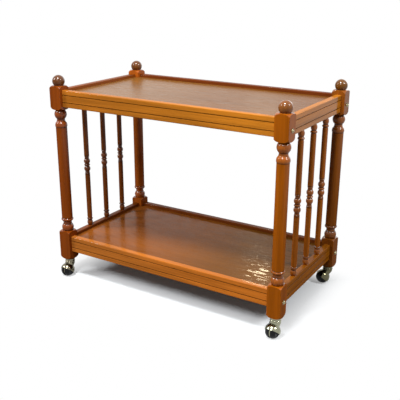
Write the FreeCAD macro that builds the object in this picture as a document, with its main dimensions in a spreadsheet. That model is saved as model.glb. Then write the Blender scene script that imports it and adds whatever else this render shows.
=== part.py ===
import FreeCAD, Part
import math
import os
import Sketcher

# A two-tier wooden tea trolley on hooded twin-wheel casters.
# Millimetres, +Z up. The origin is on the floor, at the middle of the four posts.
# X runs along the trolley, -Y is its front.

doc = FreeCAD.newDocument("TeaTrolley")
sheet = doc.addObject("Spreadsheet::Sheet", "Sizes")


class Size:
    """A number together with the spreadsheet expression that gives it."""

    def __init__(self, value, text):
        self.value = value
        self.text = text

    @staticmethod
    def of(other):
        if isinstance(other, Size):
            return other
        return Size(float(other), f"({float(other)})")

    def __add__(self, other):
        other = Size.of(other)
        return Size(self.value + other.value, f"({self.text} + {other.text})")

    def __radd__(self, other):
        return Size.of(other) + self

    def __sub__(self, other):
        other = Size.of(other)
        return Size(self.value - other.value, f"({self.text} - {other.text})")

    def __rsub__(self, other):
        return Size.of(other) - self

    def __mul__(self, other):
        other = Size.of(other)
        return Size(self.value * other.value, f"({self.text} * {other.text})")

    def __rmul__(self, other):
        return Size.of(other) * self

    def __truediv__(self, other):
        other = Size.of(other)
        return Size(self.value / other.value, f"({self.text} / {other.text})")

    def __neg__(self):
        return self * -1


def square_root(size):
    return Size(math.sqrt(size.value), f"sqrt({size.text})")


def leg(hypotenuse, side):
    """The other short side of a right triangle."""
    return square_root(hypotenuse * hypotenuse - side * side)


def cosine(angle):
    return Size(math.cos(math.radians(angle.value)), f"cos({angle.text} * 1 deg)")


def sine(angle):
    return Size(math.sin(math.radians(angle.value)), f"sin({angle.text} * 1 deg)")


sheet_rows = []


def size(name, value):
    """Puts one driving dimension in the sheet and returns it."""
    sheet_rows.append(name)
    cell = f"A{len(sheet_rows)}"
    sheet.set(cell, str(value))
    sheet.setAlias(cell, name)
    return Size(float(value), f"Sizes.{name}")


ZERO = Size(0.0, "0")

# ---- driving dimensions ----------------------------------------------------

# the frame
post_spacing_long = size("post_spacing_long", 722)
post_spacing_cross = size("post_spacing_cross", 380)
caster_height = size("caster_height", 58)

# a post: square blocks left on a turned length
post_side = size("post_side", 40)
post_edge_round = size("post_edge_round", 1.8)
lower_block_height = size("lower_block_height", 94)
turned_length = size("turned_length", 382)
upper_block_height = size("upper_block_height", 71)
shoulder_flat_radius = size("shoulder_flat_radius", 16)
lower_block_foot_round = size("lower_block_foot_round", 12.5)
lower_block_top_round = size("lower_block_top_round", 16)
upper_block_foot_round = size("upper_block_foot_round", 12.5)
upper_block_top_round = size("upper_block_top_round", 13)
shaft_radius = size("shaft_radius", 16.6)
foot_ball_radius = size("foot_ball_radius", 18)
foot_ball_rise = size("foot_ball_rise", 10)
foot_neck_radius = size("foot_neck_radius", 13.3)
foot_cove_height = size("foot_cove_height", 11.4)
foot_cove_radius = size("foot_cove_radius", 10)
foot_ring_seat_radius = size("foot_ring_seat_radius", 16.9)
foot_ring_height = size("foot_ring_height", 7)
foot_ring_radius = size("foot_ring_radius", 4.5)
head_ball_radius = size("head_ball_radius", 18.1)
head_ball_drop = size("head_ball_drop", 14)
head_neck_radius = size("head_neck_radius", 12.2)
bell_height = size("bell_height", 12)
bell_cove_radius = size("bell_cove_radius", 12)
bell_waist_radius = size("bell_waist_radius", 16.1)
bell_lip_radius = size("bell_lip_radius", 17.7)
bell_lip_height = size("bell_lip_height", 11)
bell_lip_round = size("bell_lip_round", 20)
bell_undercut = size("bell_undercut", 2)
finial_ring_radius = size("finial_ring_radius", 13.5)
finial_ring_height = size("finial_ring_height", 2.5)
finial_ball_radius = size("finial_ball_radius", 18)
finial_ball_rise = size("finial_ball_rise", 12)

# a moulded rail
rail_height = size("rail_height", 50)
rail_thickness = size("rail_thickness", 18)
lower_rail_rise = size("lower_rail_rise", 26)
upper_rail_rise = size("upper_rail_rise", 9)
rail_edge_round = size("rail_edge_round", 2)
moulding_upper_drop = size("moulding_upper_drop", 13.9)
moulding_lower_drop = size("moulding_lower_drop", 35.3)
moulding_width = size("moulding_width", 2.8)
moulding_radius = size("moulding_radius", 1.5)

# a tray panel held in grooves
panel_drop = size("panel_drop", 10)
panel_thickness = size("panel_thickness", 7)
panel_rebate = size("panel_rebate", 2)
panel_edge_play = size("panel_edge_play", 0.3)
panel_groove_depth = size("panel_groove_depth", 6)
panel_side_play = size("panel_side_play", 0.5)
panel_groove_play = size("panel_groove_play", 0.2)

# a turned spindle
spindle_shaft_radius = size("spindle_shaft_radius", 7.9)
spindle_tenon_radius = size("spindle_tenon_radius", 4)
spindle_tenon_length = size("spindle_tenon_length", 8.5)
spindle_socket_depth = size("spindle_socket_depth", 9)
spindle_waist_radius = size("spindle_waist_radius", 6.9)
spindle_thin_ring_reach = size("spindle_thin_ring_reach", 2.8)
spindle_thin_ring_round = size("spindle_thin_ring_round", 2.85)
spindle_bead_start = size("spindle_bead_start", 4.8)
spindle_bead_end = size("spindle_bead_end", 20)
spindle_bead_round = size("spindle_bead_round", 11.2)
spindle_taper_end = size("spindle_taper_end", 26)
spindle_stop_end = size("spindle_stop_end", 30)
spindle_stop_round = size("spindle_stop_round", 2.4)
spindle_end_cove_start = size("spindle_end_cove_start", 31)
spindle_end_cove_length = size("spindle_end_cove_length", 5)
spindle_end_ring_length = size("spindle_end_ring_length", 6.5)
spindle_end_ring_round = size("spindle_end_ring_round", 3.35)
spindle_end_bead_round = size("spindle_end_bead_round", 16)
spindle_end_gap = size("spindle_end_gap", 2)
spindle_foot_radius = size("spindle_foot_radius", 5.5)

# fastenings
bolt_drop = size("bolt_drop", 30)
bolt_radius = size("bolt_radius", 3)
bolt_hole_play = size("bolt_hole_play", 0.25)
bolt_length = size("bolt_length", 78)
bolt_head_radius = size("bolt_head_radius", 5)
bolt_head_height = size("bolt_head_height", 4.5)
bolt_washer_radius = size("bolt_washer_radius", 6)
bolt_washer_height = size("bolt_washer_height", 0.8)
nut_radius = size("nut_radius", 5)
nut_length = size("nut_length", 13)
nut_inset = size("nut_inset", 30)
nut_hole_play = size("nut_hole_play", 0.2)
end_dowel_radius = size("end_dowel_radius", 4)
end_dowel_in_post = size("end_dowel_in_post", 15)
end_dowel_in_rail = size("end_dowel_in_rail", 25)
end_dowel_upper_drop = size("end_dowel_upper_drop", 24)
end_dowel_lower_drop = size("end_dowel_lower_drop", 40)
locating_dowel_radius = size("locating_dowel_radius", 3)
locating_dowel_in_post = size("locating_dowel_in_post", 12)
locating_dowel_in_rail = size("locating_dowel_in_rail", 18)
locating_dowel_drop = size("locating_dowel_drop", 42)
dowel_end_play = size("dowel_end_play", 0.5)
glue_gap = size("glue_gap", 0.1)

# a hooded caster with two half-ball wheels
caster_trail = size("caster_trail", 15)
wheel_ball_radius = size("wheel_ball_radius", 20.2)
wheel_face_gap = size("wheel_face_gap", 0.5)
wheel_outer_face = size("wheel_outer_face", 15.5)
wheel_dish_margin = size("wheel_dish_margin", 2)
wheel_dish_depth = size("wheel_dish_depth", 1.2)
wheel_cap_radius = size("wheel_cap_radius", 4.5)
wheel_bore_depth = size("wheel_bore_depth", 10)
axle_radius = size("axle_radius", 2.5)
axle_running_gap = size("axle_running_gap", 0.08)
axle_end_play = size("axle_end_play", 0.4)
hood_wheel_gap = size("hood_wheel_gap", 0.6)
hood_wall = size("hood_wall", 1.3)
hood_rim_tilt = size("hood_rim_tilt", 48)
hood_rim_reach = size("hood_rim_reach", 2.6)
web_thickness = size("web_thickness", 4.4)
web_radius = size("web_radius", 17.5)
collar_gap = size("collar_gap", 0.3)
collar_waist_radius = size("collar_waist_radius", 14.1)
collar_ring_height = size("collar_ring_height", 4.8)
collar_waist_height = size("collar_waist_height", 2.2)
collar_ring_round = size("collar_ring_round", 2.8)
neck_shoulder_radius = size("neck_shoulder_radius", 15.2)
neck_shoulder_lead = size("neck_shoulder_lead", 14.2)
neck_shoulder_drop = size("neck_shoulder_drop", 3)
neck_middle_radius = size("neck_middle_radius", 15.4)
neck_middle_lead = size("neck_middle_lead", 11.2)
neck_foot_radius = size("neck_foot_radius", 15)
neck_foot_lead = size("neck_foot_lead", 5.5)
neck_foot_rise = size("neck_foot_rise", 8)
stem_radius = size("stem_radius", 4)
stem_foot_wall = size("stem_foot_wall", 0.5)
stem_reach = size("stem_reach", 26)
stem_tip_taper = size("stem_tip_taper", 2)
stem_groove_drop = size("stem_groove_drop", 6)
stem_groove_width = size("stem_groove_width", 2)
stem_groove_depth = size("stem_groove_depth", 0.8)
stem_running_gap = size("stem_running_gap", 0.08)
socket_wall = size("socket_wall", 1.4)
socket_length = size("socket_length", 28)
socket_flange_radius = size("socket_flange_radius", 9.5)
socket_flange_height = size("socket_flange_height", 1.4)
socket_end_room = size("socket_end_room", 2)

# how each caster stands at rest, as a turn from the +X direction
caster_turn = {
    "front_left": size("caster_turn_front_left", 274),
    "front_right": size("caster_turn_front_right", 267),
    "back_left": size("caster_turn_back_left", 87),
    "back_right": size("caster_turn_back_right", 221),
}

doc.recompute()

# ---- levels worked out from the driving dimensions ----------------------------

post_x = post_spacing_long / 2
post_y = post_spacing_cross / 2
half_side = post_side / 2

# measured up from the foot of a post
lower_block_top = lower_block_height
upper_block_foot = lower_block_height + turned_length
upper_block_top = upper_block_foot + upper_block_height
post_top = upper_block_top + finial_ball_rise + finial_ball_radius
tier_foot = {"lower": lower_rail_rise, "upper": upper_block_foot + upper_rail_rise}
tier_top = {tier: foot + rail_height for tier, foot in tier_foot.items()}

long_rail_length = post_spacing_long - post_side
end_rail_length = post_spacing_cross - post_side
spindle_length = tier_foot["upper"] - tier_top["lower"]
spindle_spacing = end_rail_length / 4
spindles_per_end = 3

socket_outer_radius = stem_radius + stem_running_gap + socket_wall
collar_top = caster_height - socket_flange_height - collar_gap
wheel_inner_face = web_thickness / 2 + wheel_face_gap
wheel_rim_radius = leg(wheel_ball_radius, wheel_inner_face)
axle_height = wheel_rim_radius
hood_inner_radius = wheel_ball_radius + hood_wheel_gap
hood_outer_radius = hood_inner_radius + hood_wall
stem_foot = axle_height + leg(hood_outer_radius, caster_trail - stem_radius) + stem_foot_wall

CORNERS = {
    "front_left": (-1, -1),
    "front_right": (1, -1),
    "back_left": (-1, 1),
    "back_right": (1, 1),
}
TIERS = ("lower", "upper")


# ---- drawing and feature tools --------------------------------------------------


def new_body(label):
    body = doc.addObject("PartDesign::Body", label)
    body.Label = label
    return body


def new_sketch(body, name, role, offset=(ZERO, ZERO, ZERO)):
    """A sketch on one of the body's own origin planes, its origin moved by offset."""
    planes = [f for f in body.Origin.OriginFeatures if f.Role == role]
    sketch = body.newObject("Sketcher::SketchObject", name)
    sketch.AttachmentSupport = [(planes[0], "")]
    sketch.MapMode = "FlatFace"
    moves = [step.value for step in offset]
    sketch.AttachmentOffset = FreeCAD.Placement(FreeCAD.Vector(*moves), FreeCAD.Rotation())
    for axis, step in zip("xyz", offset):
        if step is not ZERO:
            sketch.setExpression(f"AttachmentOffset.Base.{axis}", step.text)
    return sketch


def fix_point(sketch, geometry, end, across, up):
    """Ties one point of a sketch to its place, measured from the sketch's origin."""
    for kind, on_axis, place in (("DistanceX", -2, across), ("DistanceY", -1, up)):
        if place is ZERO:
            sketch.addConstraint(Sketcher.Constraint("PointOnObject", geometry, end, on_axis))
            continue
        tie = Sketcher.Constraint(kind, -1, 1, geometry, end, place.value)
        index = sketch.addConstraint(tie)
        sketch.setExpression(f"Constraints[{index}]", place.text)


class Outline:
    """A closed profile drawn point by point; each point and radius is bound to the sheet."""

    def __init__(self, sketch, across, up):
        self.sketch = sketch
        self.points = [(across, up)]
        self.steps = []

    def line(self, across, up):
        self.points.append((across, up))
        self.steps.append(None)
        return self

    def arc(self, across, up, radius, turn, large=False):
        """turn is 1 where the path bends to the left and -1 where it bends to the right."""
        self.points.append((across, up))
        self.steps.append((radius, turn, large))
        return self

    def close(self):
        self.steps.append(None)
        return self.draw()

    def close_arc(self, radius, turn, large=False):
        self.steps.append((radius, turn, large))
        return self.draw()

    def draw(self):
        count = len(self.steps)
        ends = []
        for i, step in enumerate(self.steps):
            start = self.vector(i)
            finish = self.vector((i + 1) % count)
            if step is None:
                self.sketch.addGeometry(Part.LineSegment(start, finish), False)
                ends.append((1, 2))
            else:
                ends.append(self.add_arc(start, finish, *step))
        for i, step in enumerate(self.steps):
            following = (i + 1) % count
            join = Sketcher.Constraint("Coincident", i, ends[i][1], following, ends[following][0])
            self.sketch.addConstraint(join)
            fix_point(self.sketch, i, ends[i][0], *self.points[i])
            if step is not None:
                index = self.sketch.addConstraint(Sketcher.Constraint("Radius", i, step[0].value))
                self.sketch.setExpression(f"Constraints[{index}]", step[0].text)
        return self.sketch

    def vector(self, i):
        across, up = self.points[i]
        return FreeCAD.Vector(across.value, up.value, 0)

    def add_arc(self, start, finish, radius, turn, large):
        chord = finish - start
        rise = math.sqrt(max(radius.value**2 - (chord.Length / 2) ** 2, 0.0))
        to_left = FreeCAD.Vector(-chord.y, chord.x, 0).normalize()
        side = -turn if large else turn
        centre = (start + finish) * 0.5 + to_left * (rise * side)
        first, last = (start, finish) if turn > 0 else (finish, start)
        angles = [math.atan2(p.y - centre.y, p.x - centre.x) for p in (first, last)]
        circle = Part.Circle(centre, FreeCAD.Vector(0, 0, 1), radius.value)
        self.sketch.addGeometry(Part.ArcOfCircle(circle, *angles), False)
        return (1, 2) if turn > 0 else (2, 1)


def circles(sketch, radius, centres):
    for i, (across, up) in enumerate(centres):
        place = FreeCAD.Vector(across.value, up.value, 0)
        sketch.addGeometry(Part.Circle(place, FreeCAD.Vector(0, 0, 1), radius.value), False)
        fix_point(sketch, i, 3, across, up)
        index = sketch.addConstraint(Sketcher.Constraint("Radius", i, radius.value))
        sketch.setExpression(f"Constraints[{index}]", radius.text)
    return sketch


def extrude(body, kind, name, sketch, length, symmetric=False, reverse=False):
    """A Pad or a Pocket; a length of None cuts right through."""
    feature = body.newObject(f"PartDesign::{kind}", name)
    feature.Profile = sketch
    feature.SideType = "Symmetric" if symmetric else "One side"
    feature.Reversed = reverse
    if length is None:
        feature.Type = "ThroughAll"
    else:
        feature.setExpression("Length", length.text)
    return feature


def turn(body, kind, name, sketch, axis="V_Axis"):
    """A Revolution or a Groove, all the way round."""
    feature = body.newObject(f"PartDesign::{kind}", name)
    feature.Profile = sketch
    feature.ReferenceAxis = (sketch, [axis])
    feature.Angle = 360
    return feature


def place(body, across=ZERO, along=ZERO, up=ZERO, turned=ZERO):
    """Puts a finished body in the trolley, turned about its own upright axis."""
    spot = FreeCAD.Vector(across.value, along.value, up.value)
    spin = FreeCAD.Rotation(FreeCAD.Vector(0, 0, 1), turned.value)
    body.Placement = FreeCAD.Placement(spot, spin)
    for axis, step in (("x", across), ("y", along), ("z", up)):
        if step is not ZERO:
            body.setExpression(f"Placement.Base.{axis}", step.text)
    if turned is not ZERO:
        body.setExpression("Placement.Rotation.Angle", turned.text)


nodes = []

# ---- posts: turned from one square blank ------------------------------------------


def turned_middle(body):
    """Everything the lathe takes away between the two square blocks."""
    clear = post_side
    ball_centre = lower_block_top + foot_ball_rise
    ball_seat = leg(foot_ball_radius, foot_ball_rise)
    cove_start = ball_centre + leg(foot_ball_radius, foot_neck_radius)
    cove_end = cove_start + foot_cove_height
    ring_end = cove_end + foot_ring_height
    head_centre = upper_block_foot - head_ball_drop
    head_seat = leg(head_ball_radius, head_ball_drop)
    neck_level = head_centre - leg(head_ball_radius, head_neck_radius)
    waist_level = neck_level - bell_height
    lip_level = waist_level - bell_lip_height
    low = lower_block_top - lower_block_top_round
    high = upper_block_foot + upper_block_foot_round
    path = Outline(new_sketch(body, "turned_middle", "XZ_Plane"), clear, low)
    path.line(shoulder_flat_radius + lower_block_top_round, low)
    path.arc(shoulder_flat_radius, lower_block_top, lower_block_top_round, 1)
    path.line(ball_seat, lower_block_top)
    path.arc(foot_neck_radius, cove_start, foot_ball_radius, 1)
    path.arc(foot_ring_seat_radius, cove_end, foot_cove_radius, -1)
    path.arc(shaft_radius, ring_end, foot_ring_radius, 1)
    path.line(shaft_radius, lip_level - bell_undercut)
    path.line(bell_lip_radius, lip_level)
    path.arc(bell_waist_radius, waist_level, bell_lip_round, 1)
    path.arc(head_neck_radius, neck_level, bell_cove_radius, -1)
    path.arc(head_seat, upper_block_foot, head_ball_radius, 1)
    path.line(shoulder_flat_radius, upper_block_foot)
    path.arc(shoulder_flat_radius + upper_block_foot_round, high, upper_block_foot_round, 1)
    path.line(clear, high)
    turn(body, "Groove", "turn_between_blocks", path.close())


def turned_foot(body):
    clear = post_side
    level = lower_block_foot_round
    path = Outline(new_sketch(body, "turned_foot", "XZ_Plane"), clear, level)
    path.line(clear, -finial_ring_height)
    path.line(shoulder_flat_radius, -finial_ring_height)
    path.line(shoulder_flat_radius, ZERO)
    path.arc(shoulder_flat_radius + lower_block_foot_round, level, lower_block_foot_round, 1)
    turn(body, "Groove", "round_foot", path.close())


def turned_finial(body):
    clear = post_side
    ball_seat = leg(finial_ball_radius, finial_ball_rise - finial_ring_height)
    ring_top = upper_block_top + finial_ring_height
    level = upper_block_top - upper_block_top_round
    over = post_top + finial_ring_height
    path = Outline(new_sketch(body, "turned_finial", "XZ_Plane"), clear, level)
    path.line(shoulder_flat_radius + upper_block_top_round, level)
    path.arc(shoulder_flat_radius, upper_block_top, upper_block_top_round, 1)
    path.line(finial_ring_radius, upper_block_top)
    path.line(finial_ring_radius, ring_top)
    path.line(ball_seat, ring_top)
    path.arc(ZERO, post_top, finial_ball_radius, 1, large=False)
    path.line(ZERO, over)
    path.line(clear, over)
    turn(body, "Groove", "turn_finial", path.close())


def blank_section(body):
    """The square blank with its four long edges eased."""
    side, flat, edge = half_side, half_side - post_edge_round, post_edge_round
    path = Outline(new_sketch(body, "blank_section", "XY_Plane"), -flat, -side)
    path.line(flat, -side).arc(side, -flat, edge, 1)
    path.line(side, flat).arc(flat, side, edge, 1)
    path.line(-flat, side).arc(-side, flat, edge, 1)
    path.line(-side, -flat)
    return path.close_arc(edge, 1)


def build_post(corner):
    side_x, side_y = CORNERS[corner]
    body = new_body(f"post_{corner}")
    blank_length = post_top + finial_ring_height / 2
    extrude(body, "Pad", "square_blank", blank_section(body), blank_length)
    turned_middle(body)
    turned_foot(body)
    turned_finial(body)

    bolt_hole = bolt_radius + bolt_hole_play
    levels = [(ZERO, tier_top[tier] - bolt_drop) for tier in TIERS]
    bolts = circles(new_sketch(body, "bolt_centres", "YZ_Plane"), bolt_hole, levels)
    extrude(body, "Pocket", "bolt_holes", bolts, None, symmetric=True)

    # blind holes in the two inner faces; each sketch lies on the face that is drilled
    drops = (end_dowel_upper_drop, end_dowel_lower_drop)
    levels = [(ZERO, tier_top[tier] - drop) for tier in TIERS for drop in drops]
    inner_y = half_side * side_y
    face = new_sketch(body, "end_dowel_centres", "XZ_Plane", (ZERO, ZERO, inner_y))
    circles(face, end_dowel_radius + glue_gap, levels)
    depth = end_dowel_in_post + dowel_end_play
    extrude(body, "Pocket", "end_dowel_holes", face, depth, reverse=side_y < 0)

    levels = [(ZERO, tier_top[tier] - locating_dowel_drop) for tier in TIERS]
    inner_x = half_side * -side_x
    face = new_sketch(body, "locating_dowel_centres", "YZ_Plane", (ZERO, ZERO, inner_x))
    circles(face, locating_dowel_radius + glue_gap, levels)
    depth = locating_dowel_in_post + dowel_end_play
    extrude(body, "Pocket", "locating_dowel_holes", face, depth, reverse=side_x > 0)

    foot = circles(new_sketch(body, "socket_centre", "XY_Plane"), socket_outer_radius, [(ZERO, ZERO)])
    depth = socket_length + socket_end_room
    extrude(body, "Pocket", "caster_socket_hole", foot, depth, reverse=True)
    place(body, post_x * side_x, post_y * side_y, caster_height)
    nodes.append(body)


for corner in CORNERS:
    build_post(corner)

# ---- rails: one moulded section, grooved inside for the tray panel ----------------------


def rail_section(body):
    """The section looks along the rail: outer face at -Y, inner face at +Y."""
    outer = -rail_thickness / 2
    inner = rail_thickness / 2
    edge = rail_edge_round
    half_groove = moulding_width / 2
    groove_foot = rail_height - panel_drop - panel_thickness
    groove_top = rail_height - panel_drop - panel_rebate + panel_groove_play
    groove_floor = inner - panel_groove_depth
    path = Outline(new_sketch(body, "section", "YZ_Plane"), outer + edge, ZERO)
    path.line(inner - edge, ZERO).arc(inner, edge, edge, 1)
    path.line(inner, groove_foot).line(groove_floor, groove_foot)
    path.line(groove_floor, groove_top).line(inner, groove_top)
    path.line(inner, rail_height - edge).arc(inner - edge, rail_height, edge, 1)
    path.line(outer + edge, rail_height).arc(outer, rail_height - edge, edge, 1)
    for drop in (moulding_upper_drop, moulding_lower_drop):
        path.line(outer, rail_height - drop + half_groove)
        path.arc(outer, rail_height - drop - half_groove, moulding_radius, -1)
    path.line(outer, edge)
    return path.close_arc(edge, 1)


def drill_ends(body, name, length, radius, depth, centres):
    """The same blind holes in both ends of a rail."""
    for end, reverse in ((-1, True), (1, False)):
        face = new_sketch(body, f"{name}_{end}", "YZ_Plane", (ZERO, ZERO, length / 2 * end))
        circles(face, radius, centres)
        extrude(body, "Pocket", f"{name}_holes", face, depth, reverse=reverse)


def build_long_rail(tier, side):
    """side is -1 at the front and 1 at the back."""
    body = new_body(f"{tier}_{'front' if side < 0 else 'back'}_rail")
    extrude(body, "Pad", "rail", rail_section(body), long_rail_length, symmetric=True)
    bolt_level = rail_height - bolt_drop
    bolt_depth = bolt_length - post_side + nut_radius
    bolt_hole = bolt_radius + bolt_hole_play
    drill_ends(body, "bolt", long_rail_length, bolt_hole, bolt_depth, [(ZERO, bolt_level)])
    level = rail_height - locating_dowel_drop
    depth = locating_dowel_in_rail + dowel_end_play
    radius = locating_dowel_radius + glue_gap
    drill_ends(body, "locating_dowel", long_rail_length, radius, depth, [(ZERO, level)])
    nut_x = long_rail_length / 2 - nut_inset
    inner = new_sketch(body, "nut_centres", "XZ_Plane", (ZERO, ZERO, -rail_thickness / 2))
    circles(inner, nut_radius + nut_hole_play, [(-nut_x, bolt_level), (nut_x, bolt_level)])
    extrude(body, "Pocket", "nut_holes", inner, nut_length + dowel_end_play, reverse=True)
    turned = ZERO if side < 0 else Size.of(180)
    place(body, ZERO, post_y * side, caster_height + tier_foot[tier], turned)
    nodes.append(body)


def build_end_rail(tier, side):
    """side is -1 at the left end and 1 at the right end."""
    body = new_body(f"{tier}_{'left' if side < 0 else 'right'}_rail")
    extrude(body, "Pad", "rail", rail_section(body), end_rail_length, symmetric=True)
    drops = (end_dowel_upper_drop, end_dowel_lower_drop)
    centres = [(ZERO, rail_height - drop) for drop in drops]
    depth = end_dowel_in_rail + dowel_end_play
    drill_ends(body, "dowel", end_rail_length, end_dowel_radius + glue_gap, depth, centres)
    level = rail_height if tier == "lower" else ZERO
    middle = (spindles_per_end - 1) / 2
    steps = [spindle_spacing * (i - middle) if i != middle else ZERO for i in range(spindles_per_end)]
    edge = new_sketch(body, "spindle_centres", "XY_Plane", (ZERO, ZERO, level))
    circles(edge, spindle_tenon_radius + glue_gap, [(step, ZERO) for step in steps])
    extrude(body, "Pocket", "spindle_sockets", edge, spindle_socket_depth, reverse=tier == "upper")
    place(body, post_x * side, ZERO, caster_height + tier_foot[tier], Size.of(90 * side))
    nodes.append(body)


for tier in TIERS:
    for side in (-1, 1):
        build_long_rail(tier, side)
    for side in (-1, 1):
        build_end_rail(tier, side)

# ---- tray panels: veneered boards notched round the posts -------------------------------


def notched_outline(body, name, level, past_rail_face):
    """A board's outline, notched round the posts, reaching so far past the rails' inner faces."""
    reach_x = post_x - rail_thickness / 2 + past_rail_face
    reach_y = post_y - rail_thickness / 2 + past_rail_face
    notch_x = post_x - half_side - panel_side_play
    notch_y = post_y - half_side - panel_side_play
    path = Outline(new_sketch(body, name, "XY_Plane", (ZERO, ZERO, level)), -notch_x, -reach_y)
    path.line(notch_x, -reach_y).line(notch_x, -notch_y).line(reach_x, -notch_y)
    path.line(reach_x, notch_y).line(notch_x, notch_y).line(notch_x, reach_y)
    path.line(-notch_x, reach_y).line(-notch_x, notch_y).line(-reach_x, notch_y)
    path.line(-reach_x, -notch_y).line(-notch_x, -notch_y)
    return path.close()


def build_tray_panel(tier):
    """The tongue all round lies in the rails' grooves; the face stands clear inside them."""
    body = new_body(f"{tier}_tray_panel")
    tongue_top = panel_thickness - panel_rebate
    tongue_reach = panel_groove_depth - panel_side_play
    tongue = notched_outline(body, "tongue_outline", ZERO, tongue_reach)
    extrude(body, "Pad", "tongue", tongue, tongue_top)
    face = notched_outline(body, "face_outline", tongue_top, -panel_edge_play)
    extrude(body, "Pad", "face", face, panel_rebate)
    underside = caster_height + tier_top[tier] - panel_drop - panel_thickness
    place(body, up=underside)
    nodes.append(body)


for tier in TIERS:
    build_tray_panel(tier)

# ---- spindles: the same turning above and below the middle --------------------------------


def spindle_marks():
    """The upper half's edge from the middle to the tip: level, radius, bulge on the way there."""
    end = spindle_length / 2
    ring_foot = end - spindle_end_cove_start + spindle_end_cove_length
    ring_top = ring_foot + spindle_end_ring_length
    return [
        (spindle_thin_ring_reach, spindle_waist_radius, None),
        (spindle_bead_start, spindle_waist_radius, None),
        (spindle_bead_end, spindle_waist_radius, spindle_bead_round),
        (spindle_taper_end, spindle_waist_radius, None),
        (spindle_stop_end, spindle_waist_radius, spindle_stop_round),
        (spindle_stop_end, spindle_shaft_radius, None),
        (end - spindle_end_cove_start, spindle_shaft_radius, None),
        (ring_foot, spindle_waist_radius, None),
        (ring_top, spindle_waist_radius, spindle_end_ring_round),
        (ring_top + spindle_end_gap, spindle_waist_radius, None),
        (end, spindle_foot_radius, spindle_end_bead_round),
        (end, spindle_tenon_radius, None),
        (end + spindle_tenon_length, spindle_tenon_radius, None),
    ]


def spindle_edge(path, radius, level, bulge):
    if bulge is None:
        path.line(radius, level)
    else:
        path.arc(radius, level, bulge, 1)


def build_spindle(side, number):
    body = new_body(f"{'left' if side < 0 else 'right'}_spindle_{number}")
    tip = spindle_length / 2 + spindle_tenon_length
    marks = spindle_marks()
    path = Outline(new_sketch(body, "turning", "XZ_Plane"), ZERO, -tip)
    path.line(spindle_tenon_radius, -tip)
    for (level, radius, _), (_, _, bulge) in zip(marks[-2::-1], marks[:0:-1]):
        spindle_edge(path, radius, -level, bulge)
    path.arc(spindle_waist_radius, spindle_thin_ring_reach, spindle_thin_ring_round, 1)
    for level, radius, bulge in marks[1:]:
        spindle_edge(path, radius, level, bulge)
    path.line(ZERO, tip)
    turn(body, "Revolution", "turned_spindle", path.close())
    along = spindle_spacing * (number - 2) if number != 2 else ZERO
    middle = caster_height + tier_top["lower"] + spindle_length / 2
    place(body, post_x * side, along, middle)
    nodes.append(body)


for side in (-1, 1):
    for number in range(1, spindles_per_end + 1):
        build_spindle(side, number)

# ---- fastenings: every like piece is a solid of its own in one group --------------------------


def peg(label, radius, length, bevel):
    """A plain pin along +X from the origin, its ends bevelled."""
    body = new_body(label)
    path = Outline(new_sketch(body, "pin", "XZ_Plane"), ZERO, ZERO)
    path.line(ZERO, radius - bevel).line(bevel, radius).line(length - bevel, radius)
    path.line(length, radius - bevel).line(length, ZERO)
    turn(body, "Revolution", "turned_pin", path.close(), "H_Axis")
    return body


def frame_bolt(label):
    """A dome-headed bolt on its washer, the shank running along +X from the post's face."""
    body = new_body(label)
    washer = bolt_washer_height
    dome = (bolt_head_radius * bolt_head_radius + bolt_head_height * bolt_head_height)
    dome_radius = dome / (bolt_head_height * 2)
    path = Outline(new_sketch(body, "bolt", "XZ_Plane"), bolt_length, ZERO)
    path.line(bolt_length, bolt_radius).line(ZERO, bolt_radius)
    path.line(ZERO, bolt_washer_radius).line(-washer, bolt_washer_radius)
    path.line(-washer, bolt_head_radius)
    path.arc(-washer - bolt_head_height, ZERO, dome_radius, 1)
    turn(body, "Revolution", "turned_bolt", path.close(), "H_Axis")
    return body


def barrel_nut(label):
    """A cross dowel standing on its end, threaded through for the bolt."""
    body = new_body(label)
    disc = circles(new_sketch(body, "barrel", "XY_Plane"), nut_radius, [(ZERO, ZERO)])
    extrude(body, "Pad", "barrel_length", disc, nut_length)
    bore_level = rail_thickness / 2
    bore = circles(new_sketch(body, "bore", "YZ_Plane"), bolt_radius, [(ZERO, bore_level)])
    extrude(body, "Pocket", "threaded_bore", bore, None, symmetric=True)
    return body


def group(label, pieces):
    holder = doc.addObject("Part::Compound", label)
    holder.Label = label
    holder.Links = pieces
    nodes.append(holder)


bolts = []
nuts = []
locating_dowels = []
end_dowels = []
for tier in TIERS:
    for corner, (side_x, side_y) in CORNERS.items():
        facing = ZERO if side_x < 0 else Size.of(180)
        tag = f"{tier}_{corner}"
        rail_top = caster_height + tier_top[tier]
        outer_x = (post_x + half_side) * side_x
        inner_x = (post_x - half_side) * side_x
        row_y = post_y * side_y

        bolt = frame_bolt(f"bolt_{tag}")
        place(bolt, outer_x, row_y, rail_top - bolt_drop, facing)
        bolts.append(bolt)

        nut = barrel_nut(f"nut_{tag}")
        place(nut, (post_x - half_side - nut_inset) * side_x, row_y, rail_top - bolt_drop)
        nuts.append(nut)

        length = locating_dowel_in_post + locating_dowel_in_rail
        dowel = peg(f"locating_dowel_{tag}", locating_dowel_radius, length, dowel_end_play)
        start_x = inner_x + locating_dowel_in_post * side_x
        place(dowel, start_x, row_y, rail_top - locating_dowel_drop, facing)
        locating_dowels.append(dowel)

        length = end_dowel_in_post + end_dowel_in_rail
        inner_y = (post_y - half_side) * side_y
        for drop, level in ((end_dowel_upper_drop, "high"), (end_dowel_lower_drop, "low")):
            dowel = peg(f"end_dowel_{tag}_{level}", end_dowel_radius, length, dowel_end_play)
            start_y = inner_y + end_dowel_in_post * side_y
            place(dowel, post_x * side_x, start_y, rail_top - drop, Size.of(-90 * side_y))
            end_dowels.append(dowel)

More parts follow.
